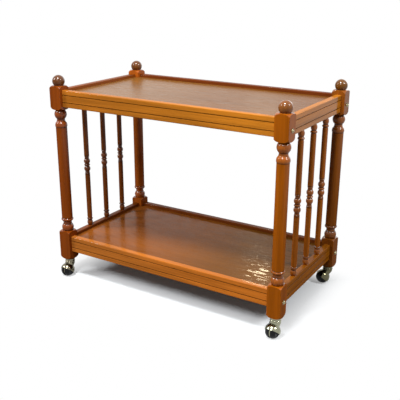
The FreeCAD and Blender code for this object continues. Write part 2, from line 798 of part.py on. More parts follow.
# a nut stands across its rail, its head flush with the inner face
for nut, (side_x, side_y) in zip(nuts, list(CORNERS.values()) * len(TIERS)):
    nut.Placement.Rotation = FreeCAD.Rotation(FreeCAD.Vector(1, 0, 0), 90 * -side_y)
    inner_face = (post_y - rail_thickness / 2) * side_y
    nut.setExpression("Placement.Base.y", inner_face.text)

group("frame_bolts", bolts)
group("barrel_nuts", nuts)
group("locating_dowels", locating_dowels)
group("end_rail_dowels", end_dowels)

# ---- casters: each stands at its swivel axis, with +X the way the wheels trail ---------------

BALL = (caster_trail, axle_height, ZERO)


def caster_socket(corner):
    """The sleeve driven into the post, with a flange under its foot."""
    body = new_body(f"caster_socket_{corner}")
    bore = stem_radius + stem_running_gap
    foot = caster_height - socket_flange_height
    top = caster_height + socket_length
    path = Outline(new_sketch(body, "sleeve", "XZ_Plane"), bore, foot)
    path.line(socket_flange_radius, foot).line(socket_flange_radius, caster_height)
    path.line(socket_outer_radius, caster_height).line(socket_outer_radius, top)
    path.line(bore, top)
    turn(body, "Revolution", "turned_sleeve", path.close())
    return body


def caster_stem(corner):
    body = new_body(f"caster_stem_{corner}")
    foot = stem_foot
    top = caster_height + stem_reach
    groove_top = top - stem_groove_drop
    groove_radius = stem_radius - stem_groove_depth
    path = Outline(new_sketch(body, "pin", "XZ_Plane"), ZERO, foot)
    path.line(stem_radius, foot).line(stem_radius, groove_top - stem_groove_width)
    path.line(groove_radius, groove_top - stem_groove_width).line(groove_radius, groove_top)
    path.line(stem_radius, groove_top).line(stem_radius, top - stem_tip_taper)
    path.line(stem_radius - stem_tip_taper / 2, top).line(ZERO, top)
    turn(body, "Revolution", "turned_pin", path.close())
    return body


def half_ball(body, name, radius):
    """Half a disc round the wheel centre, to be turned into a ball."""
    path = Outline(new_sketch(body, name, "XZ_Plane", BALL), ZERO, -radius)
    path.arc(radius, ZERO, radius, 1).arc(ZERO, radius, radius, 1)
    return path.close()


def caster_hood(corner):
    """A cast shell over the wheels, with the collar above it and a web between the wheels."""
    body = new_body(f"caster_hood_{corner}")
    turn(body, "Revolution", "ball", half_ball(body, "ball_section", hood_outer_radius))

    # the neck leans from the round collar over the swivel axis into the side of the ball
    lower_ring_top = collar_top - collar_ring_height - collar_waist_height
    neck_top = lower_ring_top - collar_ring_height
    neck_shoulder = neck_top - neck_shoulder_drop
    neck_foot = axle_height + neck_foot_rise
    rings = [
        ("neck_top", neck_top, ZERO, collar_waist_radius),
        ("neck_shoulder", neck_shoulder, caster_trail - neck_shoulder_lead, neck_shoulder_radius),
        ("neck_middle", (neck_top + neck_foot) / 2, caster_trail - neck_middle_lead, neck_middle_radius),
        ("neck_foot", neck_foot, caster_trail - neck_foot_lead, neck_foot_radius),
    ]
    sections = []
    for name, level, centre, radius in rings:
        ring = new_sketch(body, name, "XY_Plane", (ZERO, ZERO, level))
        sections.append(circles(ring, radius, [(centre, ZERO)]))
    neck = body.newObject("PartDesign::AdditiveLoft", "neck")
    neck.Profile = sections[0]
    neck.Sections = sections[1:]

    collar = Outline(new_sketch(body, "collar_section", "XZ_Plane"), ZERO, neck_top)
    collar.line(collar_waist_radius, neck_top)
    collar.arc(collar_waist_radius, lower_ring_top, collar_ring_round, 1)
    collar.line(collar_waist_radius, lower_ring_top + collar_waist_height)
    collar.arc(collar_waist_radius, collar_top, collar_ring_round, 1)
    collar.line(ZERO, collar_top)
    turn(body, "Revolution", "collar", collar.close())
    turn(body, "Groove", "cavity", half_ball(body, "cavity_section", hood_inner_radius))

    # the rim lies in a plane tipped towards the trailing side, just past the wheel centre
    across, drop = cosine(hood_rim_tilt), sine(hood_rim_tilt)

    def from_rim(outward, sideways):
        return outward * across + sideways * drop, sideways * across - outward * drop

    far = hood_outer_radius * 2
    mouth_sketch = new_sketch(body, "mouth_section", "XZ_Plane", BALL)
    mouth = Outline(mouth_sketch, *from_rim(hood_rim_reach, -far))
    mouth.line(*from_rim(far, -far)).line(*from_rim(far, far)).line(*from_rim(hood_rim_reach, far))
    extrude(body, "Pocket", "mouth", mouth.close(), None, symmetric=True)

    root_radius = hood_inner_radius + hood_wall / 2
    rim_root = leg(root_radius, hood_rim_reach)
    rim_web = leg(web_radius, hood_rim_reach)
    web_sketch = new_sketch(body, "web_section", "XZ_Plane", BALL)
    web = Outline(web_sketch, *from_rim(hood_rim_reach, rim_root))
    web.arc(*from_rim(hood_rim_reach, -rim_root), root_radius, 1, large=True)
    web.line(*from_rim(hood_rim_reach, -rim_web))
    web.arc(*from_rim(hood_rim_reach, rim_web), web_radius, 1)
    extrude(body, "Pad", "web", web.close(), web_thickness, symmetric=True)

    axle_seat = circles(new_sketch(body, "axle_seat", "XZ_Plane", BALL), axle_radius, [(ZERO, ZERO)])
    extrude(body, "Pocket", "axle_bore", axle_seat, web_thickness * 2, symmetric=True)
    seat = new_sketch(body, "stem_seat", "XY_Plane", (ZERO, ZERO, collar_top))
    circles(seat, stem_radius, [(ZERO, ZERO)])
    extrude(body, "Pocket", "stem_bore", seat, collar_top - stem_foot)
    return body


WHEEL = (ZERO, axle_height, caster_trail)


def caster_axle(corner):
    """The pin pressed through the web, with a wheel turning on each end."""
    body = new_body(f"caster_axle_{corner}")
    reach = wheel_inner_face + wheel_bore_depth - axle_end_play
    path = Outline(new_sketch(body, "pin", "YZ_Plane", WHEEL), -reach, ZERO)
    path.line(reach, ZERO).line(reach, axle_radius).line(-reach, axle_radius)
    turn(body, "Revolution", "turned_pin", path.close(), "H_Axis")
    return body


def caster_wheel(corner, number):
    """A half-ball wheel with a dished outer face and a raised cap over the axle."""
    body = new_body(f"caster_wheel_{corner}_{number}")
    side = -1 if number == 1 else 1
    bore = axle_radius + axle_running_gap
    bore_end = wheel_inner_face + wheel_bore_depth
    face_radius = leg(wheel_ball_radius, wheel_outer_face)
    dish_radius = face_radius - wheel_dish_margin
    dish_level = wheel_outer_face - wheel_dish_depth
    sketch = new_sketch(body, "wheel_section", "YZ_Plane", WHEEL)
    path = Outline(sketch, wheel_inner_face * side, bore)
    path.line(wheel_inner_face * side, wheel_rim_radius)
    path.arc(wheel_outer_face * side, face_radius, wheel_ball_radius, -side)
    path.line(wheel_outer_face * side, dish_radius)
    path.line(dish_level * side, dish_radius - wheel_dish_depth)
    path.line(dish_level * side, wheel_cap_radius + wheel_dish_depth)
    path.line(wheel_outer_face * side, wheel_cap_radius)
    path.line(wheel_outer_face * side, ZERO)
    path.line(bore_end * side, ZERO)
    path.line(bore_end * side, bore)
    turn(body, "Revolution", "turned_wheel", path.close(), "H_Axis")
    return body


for corner, (side_x, side_y) in CORNERS.items():
    pieces = [caster_socket(corner), caster_stem(corner), caster_hood(corner), caster_axle(corner)]
    pieces += [caster_wheel(corner, number) for number in (1, 2)]
    for piece in pieces:
        place(piece, post_x * side_x, post_y * side_y, ZERO, caster_turn[corner])
    nodes.extend(pieces)

# ---- check and write ----------------------------------------------------------------------

doc.recompute()
failed = [item.Name for item in doc.Objects if {"Invalid", "Error"} & set(item.State)]
if failed:
    raise RuntimeError(f"failed to build: {failed}")

os.makedirs("parts", exist_ok=True)
for node in nodes:
    shape = node.Shape
    if shape.isNull() or not shape.isValid():
        raise RuntimeError(f"bad shape: {node.Label}")
    shape.exportStep(f"parts/{node.Label}.step")
print(len(nodes), "nodes written")
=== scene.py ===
import bpy
import math
from mathutils import Matrix, Vector


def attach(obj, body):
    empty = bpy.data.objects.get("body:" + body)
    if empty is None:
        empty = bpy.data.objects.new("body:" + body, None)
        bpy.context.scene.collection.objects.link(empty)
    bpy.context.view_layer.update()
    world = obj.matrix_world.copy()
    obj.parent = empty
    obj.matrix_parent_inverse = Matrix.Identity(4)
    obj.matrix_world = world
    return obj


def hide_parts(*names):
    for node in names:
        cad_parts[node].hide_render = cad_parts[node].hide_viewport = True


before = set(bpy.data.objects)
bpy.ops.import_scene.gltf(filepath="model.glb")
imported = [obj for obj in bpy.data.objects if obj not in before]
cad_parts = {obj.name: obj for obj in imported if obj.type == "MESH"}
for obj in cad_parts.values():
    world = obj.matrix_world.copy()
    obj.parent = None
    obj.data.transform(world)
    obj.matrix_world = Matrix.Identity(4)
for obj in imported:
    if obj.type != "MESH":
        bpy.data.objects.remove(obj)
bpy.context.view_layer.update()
MM = 0.001

# ---- Turned posts ---------------------------------------------------------------
# Four posts of stained hardwood, each turned from one square blank. The lathe leaves
# a square block at each tier and a ball on top, and a satin lacquer goes over all.

POST_X, POST_Y = 361 * MM, 190 * MM
POST_HALF_SIDE = 20 * MM
POST_EDGE_ROUND = 1.8 * MM
POST_FOOT, LOWER_BLOCK_TOP = 58 * MM, 152 * MM
FOOT_NECK, FOOT_RING, SHAFT_FOOT = 174.13 * MM, 185.53 * MM, 192.53 * MM
SHAFT_TOP, BELL_LIP, BELL_WAIST, HEAD_NECK = 481.63 * MM, 483.63 * MM, 494.63 * MM, 506.63 * MM
SHAFT_RINGS = [(200 + 35 * i) * MM for i in range(8)]
UPPER_BLOCK_FOOT, UPPER_BLOCK_TOP = 534 * MM, 605 * MM
FINIAL_SEAT, POST_TOP = 607.5 * MM, 635 * MM
SHOULDER_FLAT, SHAFT_RADIUS, BALL_RADIUS = 16 * MM, 16.6 * MM, 18 * MM
FINIAL_RING_RADIUS, BLOCK_FOOT_ROUND = 13.5 * MM, 12.5 * MM
LATHE_CLEAR = 34 * MM
TOUCH = 0.01 * MM

CORNERS = {
    "front_left": (-1, -1),
    "front_right": (1, -1),
    "back_left": (-1, 1),
    "back_right": (1, 1),
}

POST_TONES = {
    "front_left": ("853E0C", "5F3410"),
    "front_right": ("9B5006", "7A4512"),
    "back_left": ("A25214", "663910"),
    "back_right": ("884A12", "643C08"),
}
FINIAL_DRIFT = (603 * MM, 610 * MM)
# Each crease of the turning is a level and how far the painted shade reaches from it.
POST_SHADED_CREASES = [
    (level * MM, reach * MM)
    for level, reach in (
        (153.6, 1.6), (174.1, 2.0), (185.5, 1.4), (193.2, 1.6),
        (481.4, 1.6), (506.6, 2.0), (532.2, 1.6), (606.6, 1.5),
    )
]
POST_BEADS = [(low * MM, high * MM) for low, high in ((153, 192), (482, 533), (606, 636))]
# A lacquer is its gloss on upright faces, on faces that look up, and high on the right end.
SATIN, RAIL_SATIN, BARE = (0.06, 0.9, 0.35), (0.04, 0.38, 0.5), (0.0, 0.0, 0.0)
BURNISH = 0.27


class Wire:
    """A shader value. Sums on it add their own Math nodes."""

    def __init__(self, tree, socket=None):
        self.tree = tree
        self.socket = socket

    def node(self, kind, settings=None, inputs=None, output=0):
        """Adds a node, sets it up, feeds its sockets and gives one of its outputs."""
        made = self.tree.nodes.new("ShaderNode" + kind)
        for name, value in (settings or {}).items():
            setattr(made, name, value)
        for name, value in (inputs or {}).items():
            if isinstance(value, Wire):
                self.tree.links.new(value.socket, made.inputs[name])
            else:
                made.inputs[name].default_value = value
        return Wire(self.tree, made.outputs[output] if made.outputs else None)

    def sum_with(self, operation, other):
        return self.node("Math", {"operation": operation}, {0: self, 1: other})

    def __add__(self, other):
        return self.sum_with("ADD", other)

    def __sub__(self, other):
        return self.sum_with("SUBTRACT", other)

    def __mul__(self, other):
        return self.sum_with("MULTIPLY", other)

    def spread(self, low, high, to_low=0.0, to_high=1.0):
        """Smoothly stretches low..high to to_low..to_high."""
        ends = {"Value": self, "From Min": low, "From Max": high}
        ends |= {"To Min": to_low, "To Max": to_high}
        return self.node("MapRange", {"interpolation_type": "SMOOTHSTEP"}, ends)

    def noise(self, scale, detail=3.0, roughness=0.5, distortion=0.0):
        """Noise on this place; scale is features per metre along X, Y and Z."""
        place = self.node("Mapping", None, {"Vector": self, "Scale": scale})
        look = {"Vector": place, "Scale": 1.0, "Detail": detail}
        look |= {"Roughness": roughness, "Distortion": distortion}
        return self.node("TexNoise", None, look)

    def part(self, axis):
        """The X, Y or Z part of a place or a direction."""
        return self.node("SeparateXYZ", None, {0: self}, axis)

    def size(self):
        return self.node("Math", {"operation": "ABSOLUTE"}, {0: self})

    def mix(self, first, second):
        """This value as the share of the second colour over the first."""
        return self.node("Mix", {"data_type": "RGBA"}, {0: self, 6: first, 7: second}, 2)

    def bump(self, strength, depth):
        return self.node("Bump", None, {"Height": self, "Strength": strength, "Distance": depth})

    def surface(self, sockets):
        shader = self.node("BsdfPrincipled", None, sockets)
        self.node("OutputMaterial", None, {"Surface": shader})


def start_material(name):
    material = bpy.data.materials.new(name)
    material.use_nodes = True
    material.node_tree.nodes.clear()
    wire = Wire(material.node_tree)
    return material, wire, wire.node("TexCoord", output="Object")


def tone(code, shade=1.0):
    """A colour written as a hex code, as the linear colour a shader takes."""
    parts = [int(code[i : i + 2], 16) / 255 for i in (0, 2, 4)]
    linear = [p / 12.92 if p < 0.04045 else ((p + 0.055) / 1.055) ** 2.4 for p in parts]
    return (*[min(p * shade, 1.0) for p in linear], 1.0)


def lacquer_depth(wire, place, upright, upward, end_gloss, burnished):
    """The share of gloss coat over a face.

    It is thick on faces that look up, high on the right end, and between the burnished
    levels, where the turner's rag has polished the beads."""
    normal = wire.node("TexCoord", output="Normal")
    coat = normal.part(2).spread(0.08, 0.8, upright, upward)
    coat = coat + normal.part(0).spread(0.4, 0.95) * place.part(2).spread(0.25, 0.5, 0.0, end_gloss)
    for low, high in burnished:
        off = (place.part(2) - (low + high) / 2).size()
        coat = coat + off.spread((high - low) / 2, (high - low) / 2 + 1 * MM, BURNISH, 0.0)
    return coat


def stained_wood(
    name, tones, grain_axis, drift=(-0.3, 0.3), lacquer=SATIN, streaks=1.0, shaded_creases=(), burnished=()
):
    """Stained and lacquered hardwood with its grain along axis 0, 1 or 2.

    Its colour runs from the first tone to the second along the grain: the finial's own tone on the
    posts, painted light on the front rails. Painted shade darkens it in the creases at the given
    levels."""
    material, wire, place = start_material(name)

    def along(across, length):
        return [length if axis == grain_axis else across for axis in range(3)]

    streak = place.noise(along(210.0, 6.0), 5.0, 0.62, 0.2)
    band = place.noise(along(34.0, 2.2), 2.0, 0.5, 0.5)
    pore = place.noise(along(1300.0, 55.0), 2.0, 0.6).spread(0.6, 0.72)
    figure = (streak * 0.55 + band * 0.45).spread(0.3, 0.7)
    dark, light = 1 - 0.24 * streaks, 1 + 0.18 * streaks
    near, far = (figure.mix(tone(code, dark), tone(code, light)) for code in tones)
    # Along the grain the colour runs from the first tone to the second: the finial's own tone on
    # the posts, painted light on the front rails.
    colour = place.part(grain_axis).spread(*drift).mix(near, far)
    colour = (pore * (0.4 * streaks)).mix(colour, tone(tones[0], 0.42))
    # Painted shade: the colour darkens towards each crease level.
    for level, reach in shaded_creases:
        off = (place.part(2) - level).size()
        colour = off.spread(reach * 0.4, reach, 0.75, 0.0).mix(colour, tone(tones[0], 0.12))
    relief = (streak * 0.4 - pore * 0.6).bump(0.12, 0.3 * MM)
    coat = lacquer_depth(wire, place, *lacquer, burnished)
    look = {"Base Color": colour, "Roughness": figure * 0.08 + 0.3, "Normal": relief}
    look |= {"Specular IOR Level": 0.0, "Coat Weight": coat, "Coat Roughness": 0.12}
    wire.surface(look)
    return material


def clear_selection():
    if bpy.context.object and bpy.context.object.mode != "OBJECT":
        bpy.ops.object.mode_set(mode="OBJECT")
    bpy.ops.object.select_all(action="DESELECT")


def select_only(piece):
    clear_selection()
    bpy.context.view_layer.objects.active = piece
    piece.select_set(True)


def arc(edge, radius, level, bend, steps=8):
    """Carries a profile on to a new point round an arc: a bend above 0 swells, below 0 hollows."""
    start, finish = Vector(edge[-1]), Vector((radius, level))
    chord = finish - start
    rise = math.sqrt(max(bend * bend - chord.length_squared / 4, 0.0))
    side = math.copysign(1.0, bend)
    to_left = Vector((-chord.y, chord.x)).normalized()
    centre = (start + finish) / 2 + to_left * rise * side
    first, last = (math.atan2(*(p - centre).yx) for p in (start, finish))
    if (last - first) * side < 0:
        last += 2 * math.pi * side
    for i in range(1, steps + 1):
        angle = first + (last - first) * i / steps
        edge.append(tuple(centre + abs(bend) * Vector((math.cos(angle), math.sin(angle)))))


def turned(name, edge, facets=64):
    """A piece round the Z axis: its foot is a disc, drawn up ring by ring.

    A point of the edge is a radius and a level; a third number moves that ring along X."""
    clear_selection()
    radius, level, lean = (*edge[0], 0.0)[:3]
    bpy.ops.mesh.primitive_circle_add(
        vertices=facets, radius=radius, fill_type="NGON", location=(lean, 0, level)
    )
    piece = bpy.context.object
    piece.name = name
    bpy.ops.object.transform_apply(location=True)
    bpy.ops.object.mode_set(mode="EDIT")
    bpy.ops.mesh.select_all(action="SELECT")
    for point in edge[1:]:
        next_radius, next_level, next_lean = (*point, 0.0)[:3]
        lift = {"value": (next_lean - lean, 0, next_level - level)}
        bpy.ops.mesh.extrude_region_move(TRANSFORM_OT_translate=lift)
        grow = max(next_radius, 0.02 * MM) / radius
        bpy.ops.transform.resize(value=(grow, grow, 1), center_override=(next_lean, 0, next_level))
        radius, level, lean = radius * grow, next_level, next_lean
    if edge[-1][0] == 0:
        bpy.ops.mesh.merge(type="COLLAPSE")
    bpy.ops.mesh.select_all(action="SELECT")
    bpy.ops.mesh.normals_make_consistent(inside=False)
    bpy.ops.object.mode_set(mode="OBJECT")
    return piece


def modify(piece, kind, **settings):
    """Adds one modifier with its settings and applies it."""
    select_only(piece)
    added = piece.modifiers.new(kind, kind)
    for name, value in settings.items():
        setattr(added, name, value)
    bpy.ops.object.modifier_apply(modifier=added.name)


def cut_with(piece, tool, operation):
    """Joins, cuts or trims a piece with a tool, and throws the tool away."""
    modify(piece, "BOOLEAN", operation=operation, object=tool, solver="EXACT")
    bpy.data.objects.remove(tool)


def soften(piece, angle=32):
    """Smooth shading over the rounded edges, with the flat faces kept flat."""
    select_only(piece)
    bpy.ops.object.shade_smooth_by_angle(angle=math.radians(angle))
    modify(piece, "WEIGHTED_NORMAL", keep_sharp=True)


def block(name, low, high):
    """A squared block between two corners, left in edit mode."""
    clear_selection()
    bpy.ops.mesh.primitive_cube_add(size=1, location=(0, 0, 0))
    piece = bpy.context.object
    piece.name = name
    bpy.ops.object.mode_set(mode="EDIT")
    size = [b - a for a, b in zip(low, high)]
    middle = [(a + b) / 2 for a, b in zip(low, high)]
    bpy.ops.transform.resize(value=size)
    bpy.ops.transform.translate(value=middle)
    return piece


def edit(piece):
    """Opens one piece in edit mode with nothing selected."""
    select_only(piece)
    bpy.ops.object.mode_set(mode="EDIT")
    bpy.ops.mesh.select_all(action="DESELECT")


def pick_edges(piece, wanted):
    """Selects the edges whose two ends both pass the test."""
    edit(piece)
    bpy.ops.mesh.select_mode(type="EDGE")
    bpy.ops.object.mode_set(mode="OBJECT")
    points = piece.data.vertices
    for edge in piece.data.edges:
        edge.select = wanted(*(points[i].co for i in edge.vertices))
    bpy.ops.object.mode_set(mode="EDIT")


def pick_faces(piece, wanted):
    """Selects the faces that pass a test on centre and normal."""
    edit(piece)
    bpy.ops.mesh.select_mode(type="FACE")
    bpy.ops.object.mode_set(mode="OBJECT")
    for face in piece.data.polygons:
        face.select = wanted(face.center, face.normal)
    bpy.ops.object.mode_set(mode="EDIT")


def finished(model, name, body, node, materials, place=(0, 0, 0), turn=0.0):
    """A copy of a modelled piece, put in its place with its own mesh, for one CAD node."""
    piece = model.copy()
    piece.data = model.data.copy()
    piece.name = piece.data.name = name
    piece.data.transform(Matrix.Translation(place) @ Matrix.Rotation(turn, 4, "Z"))
    piece.data.materials.clear()
    for material in materials:
        piece.data.materials.append(material)
    bpy.context.scene.collection.objects.link(piece)
    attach(piece, body)
    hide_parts(node)


def pass_block(edge, foot, foot_round, top, top_round):
    """Carries the lathe's path round the shoulders of a block, clear of its square sides."""
    step = 0.1 * MM
    edge.append((SHOULDER_FLAT, foot))
    arc(edge, SHOULDER_FLAT + foot_round, foot + foot_round, foot_round)
    edge.append((LATHE_CLEAR, foot + foot_round + step))
    edge.append((LATHE_CLEAR, top - top_round - step))
    edge.append((SHOULDER_FLAT + top_round, top - top_round))
    arc(edge, SHOULDER_FLAT, top, top_round)


def post_edge():
    """The lathe's whole path along one post, from foot to ball."""
    edge = []
    pass_block(edge, POST_FOOT, BLOCK_FOOT_ROUND, LOWER_BLOCK_TOP, 16 * MM)
    edge.append((14.97 * MM, LOWER_BLOCK_TOP))
    arc(edge, 13.3 * MM, FOOT_NECK, BALL_RADIUS, 18)
    arc(edge, 16.9 * MM, FOOT_RING, -10 * MM)
    arc(edge, SHAFT_RADIUS, SHAFT_FOOT, 4.5 * MM)
    edge += [(SHAFT_RADIUS, level) for level in (*SHAFT_RINGS, SHAFT_TOP)]
    edge.append((17.7 * MM, BELL_LIP))
    arc(edge, 16.1 * MM, BELL_WAIST, 20 * MM)
    arc(edge, 12.2 * MM, HEAD_NECK, -12 * MM)
    arc(edge, 11.47 * MM, UPPER_BLOCK_FOOT, 18.1 * MM, 20)
    pass_block(edge, UPPER_BLOCK_FOOT, BLOCK_FOOT_ROUND, UPPER_BLOCK_TOP, 13 * MM)
    edge += [(FINIAL_RING_RADIUS, UPPER_BLOCK_TOP), (FINIAL_RING_RADIUS, FINIAL_SEAT)]
    edge.append((15.29 * MM, FINIAL_SEAT))
    arc(edge, 0, POST_TOP, BALL_RADIUS, 24)
    return edge


BLANK_FOOT, BLANK_TOP = 40 * MM, 640 * MM
low_corner = (-POST_HALF_SIDE, -POST_HALF_SIDE, BLANK_FOOT)
post = block("post", low_corner, (POST_HALF_SIDE, POST_HALF_SIDE, BLANK_TOP))
pick_edges(post, lambda a, b: abs(a.z - b.z) > 1 * MM)
bpy.ops.mesh.bevel(offset=POST_EDGE_ROUND, segments=4)
cut_with(post, turned("lathe_path", post_edge(), 96), "INTERSECT")
soften(post)
for corner, (side_x, side_y) in CORNERS.items():
    turning = {"shaded_creases": POST_SHADED_CREASES, "burnished": POST_BEADS}
    wood = stained_wood(f"post_wood_{corner}", POST_TONES[corner], 2, FINIAL_DRIFT, **turning)
    place = (POST_X * side_x, POST_Y * side_y, 0)
    name = f"post_{corner}"
    finished(post, f"turned_{name}", "frame", name, [wood], place)
bpy.data.objects.remove(post)

# ---- Moulded rails ---------------------------------------------------------------
# Eight rails of the same section frame the two trays, with two fine grooves worked
# along the outer face, filled and edged with painted shade, and a wide one inside for the panel.

RAIL_HEIGHT, RAIL_THICKNESS = 50 * MM, 18 * MM
RAIL_FEET = {"lower": 84 * MM, "upper": 543 * MM}
RAIL_LENGTHS = {"front": 682 * MM, "back": 682 * MM, "left": 340 * MM, "right": 340 * MM}
RAIL_PLACES = {
    "front": (0, -POST_Y, 0.0),
    "back": (0, POST_Y, math.pi),
    "left": (-POST_X, 0, -math.pi / 2),
    "right": (POST_X, 0, math.pi / 2),
}
# The front rails' second tone, at their right ends, is the lighter: painted light.
RAIL_TONES = {
    "upper_front": ("AD671E", "BB721E"),
    "upper_back": ("6E3412", "6E3412"),
    "upper_left": ("824212", "824212"),
    "upper_right": ("B56E1E", "B56E1E"),
    "lower_front": ("B66A27", "C26E23"),
    "lower_back": ("743A14", "743A14"),
    "lower_left": ("7E4012", "7E4012"),
    "lower_right": ("9A5810", "9A5810"),
}
# Near-black painted shade for the floor and walls of the fine grooves.
GROOVE_SHADE_TONES = ("1A0C04", "1A0C04")
GROOVE_LEVELS = (RAIL_HEIGHT - 13.9 * MM, RAIL_HEIGHT - 35.3 * MM)
GROOVE_WIDTH, GROOVE_DEPTH = 2.8 * MM, 1.6 * MM
GROOVES = [(level - GROOVE_WIDTH / 2, level + GROOVE_WIDTH / 2) for level in GROOVE_LEVELS]
GROOVE_SHADE_REACH = 1.65 * MM
GROOVE_SHADE_DEPTHS = (0.3 * MM, 3 * MM)
PANEL_GROOVE = (33 * MM, 38.2 * MM)
PANEL_GROOVE_DEPTH = 6 * MM
RAIL_ROUND = 2.2 * MM


def moulded_rail(length):
    """One rail along X from z = 0, its outer face towards -Y."""
    outer, inner = -RAIL_THICKNESS / 2, RAIL_THICKNESS / 2
    rail = block("rail", (-length / 2, outer, 0), (length / 2, inner, RAIL_HEIGHT))
    for level in [z for pair in (*GROOVES, PANEL_GROOVE) for z in pair]:
        bpy.ops.mesh.select_all(action="SELECT")
        bpy.ops.mesh.bisect(plane_co=(0, 0, level), plane_no=(0, 0, 1))

    pick_faces(rail, lambda c, n: n.y > 0.9 and PANEL_GROOVE[0] < c.z < PANEL_GROOVE[1])
    inwards = {"value": (0, -PANEL_GROOVE_DEPTH, 0)}
    bpy.ops.mesh.extrude_region_move(TRANSFORM_OT_translate=inwards)
    for low, high in GROOVES:
        pick_faces(rail, lambda c, n: n.y < -0.9 and low < c.z < high)
        middle = (0, 0, (low + high) / 2)
        for share in (0.6, 0.4):
            inwards = {"value": (0, GROOVE_DEPTH * share, 0)}
            bpy.ops.mesh.extrude_region_move(TRANSFORM_OT_translate=inwards)
            bpy.ops.transform.resize(value=(1, 1, 0.62), center_override=middle)

    def corner_edge(a, b):
        on_side = abs(abs(a.y) - inner) < TOUCH
        at_end = a.z < TOUCH or a.z > RAIL_HEIGHT - TOUCH
        return abs(a.x - b.x) > 100 * MM and on_side and at_end

    pick_edges(rail, corner_edge)
    bpy.ops.mesh.bevel(offset=RAIL_ROUND, segments=4)
    bpy.ops.object.mode_set(mode="OBJECT")
    soften(rail, 40)
    return rail


def shade_grooves(rail):
    """The floor and walls of the two fine grooves take the darker of the rail's two finishes, a
    near-black painted shade.
    """
    shallow, deep = GROOVE_SHADE_DEPTHS
    for face in rail.data.polygons:
        in_groove = any(low < face.center.z < high for low, high in GROOVES)
        inside = shallow < face.center.y + RAIL_THICKNESS / 2 < deep
        face.material_index = 1 if in_groove and inside else 0


for side, length in RAIL_LENGTHS.items():
    rail = moulded_rail(length)
    shade_grooves(rail)
    for tier, foot in RAIL_FEET.items():
        where = f"{tier}_{side}"
        axis = 0 if side in ("front", "back") else 1
        # Painted shade darkens the rail's face along each fine groove.
        shaded_creases = [(foot + level, GROOVE_SHADE_REACH) for level in GROOVE_LEVELS]
        face_look = {"lacquer": RAIL_SATIN, "streaks": 1.25, "shaded_creases": shaded_creases}
        groove_shade_look = {"lacquer": BARE, "streaks": 0.0}
        woods = [
            stained_wood(f"rail_wood_{where}", RAIL_TONES[where], axis, **face_look),
            stained_wood(f"groove_painted_shade_{where}", GROOVE_SHADE_TONES, axis, **groove_shade_look),
        ]
        x, y, turn = RAIL_PLACES[side]
        name = f"{where}_rail"
        finished(rail, f"moulded_{name}", "frame", name, woods, (x, y, foot), turn)
    bpy.data.objects.remove(rail)

# ---- Tray panels ------------------------------------------------------------------
# Two veneered boards, notched round the posts and held in the rails' inner grooves.
# Their lacquer is rubbed to a higher gloss than the frame's.

PANEL_FEET = {"lower": 117 * MM, "upper": 576 * MM}
PANEL_THICKNESS = 7 * MM
PANEL_REBATE = 2 * MM
PANEL_TONGUE = (357.5 * MM, 186.5 * MM)
PANEL_FACE = (351.7 * MM, 180.7 * MM)
PANEL_NOTCH = (340.5 * MM, 169.5 * MM)
# Each board's first tone, at its left end, is the lighter: painted light.
PANEL_LOOKS = {
    "lower": {"tones": ("90501A", "673F12"), "polish": 0.22, "coat": (0.31, 0.11), "sheen": 0.03},
    "upper": {"tones": ("7C5222", "6C4218"), "polish": 0.26, "coat": (0.82, 0.62), "sheen": 0.0},
}


def notched_board(foot, top, reach_x, reach_y):
    """A board with square notches at its corners: one board laid over another."""
    notch_x, notch_y = PANEL_NOTCH
    long_way = block("board", (-reach_x, -notch_y, foot), (reach_x, notch_y, top))
    short_way = block("short_way", (-notch_x, -reach_y, foot), (notch_x, reach_y, top))
    cut_with(long_way, short_way, "UNION")
    return long_way


def veneer(name, tones, polish, coat, sheen):
    """Sliced veneer with its figure along the tray, under a rubbed and faintly rippled lacquer.

    The tones and the depth of coat each run from the left end to the right; the tones lighter at
    the left end are painted light. The sheen is the streaky polish under the coat, which only the
    sharpest lights show up."""
    material, wire, place = start_material(name)
    sweep = place.noise((1.3, 9.0, 1.0), 2.0, 0.5, 0.6)
    figure = place.noise((3.0, 60.0, 10.0), 4.0, 0.6, 0.6)
    fine = place.noise((20.0, 520.0, 60.0), 3.0, 0.6)
    pore = place.noise((60.0, 1500.0, 60.0), 2.0, 0.6).spread(0.6, 0.72)
    blend = (sweep * 0.4 + figure * 0.35 + fine * 0.25).spread(0.3, 0.7)
    near, far = (blend.mix(tone(code, 0.82), tone(code, 1.14)) for code in tones)
    # Painted light: the board's colour is lighter towards its left end.
    colour = place.part(0).spread(-0.25, 0.25).mix(near, far)
    colour = (pore * 0.25).mix(colour, tone(tones[0], 0.5))
    ripple = place.noise((22.0, 90.0, 22.0), 2.0, 0.5)
    relief = (ripple - pore * 0.02).bump(1.0, 0.1 * MM)
    dull = place.noise((24.0, 100.0, 24.0), 1.0, 0.5, 0.3).spread(0.42, 0.56)
    gloss = place.part(0).spread(-PANEL_FACE[0], 0.8 * PANEL_FACE[0], *coat)
    gloss = gloss * (fine.spread(0.38, 0.62) * 0.5 + 0.75)
    look = {"Base Color": colour, "Roughness": dull * 0.4 + 0.03, "Normal": relief}
    look |= {"Specular IOR Level": sheen, "Coat Weight": gloss, "Coat Roughness": polish}
    wire.surface(look)
    return material


panel = notched_board(0, PANEL_THICKNESS - PANEL_REBATE, *PANEL_TONGUE)
face_board = notched_board(PANEL_REBATE, PANEL_THICKNESS, *PANEL_FACE)
pick_edges(face_board, lambda a, b: min(a.z, b.z) > PANEL_THICKNESS - TOUCH)
bpy.ops.mesh.bevel(offset=0.5 * MM, segments=2)
cut_with(panel, face_board, "UNION")
soften(panel)
for tier, foot in PANEL_FEET.items():
    name = f"{tier}_tray_panel"
    board = veneer(f"tray_veneer_{tier}", **PANEL_LOOKS[tier])
    finished(panel, f"veneered_{name}", "frame", name, [board], (0, 0, foot))
bpy.data.objects.remove(panel)

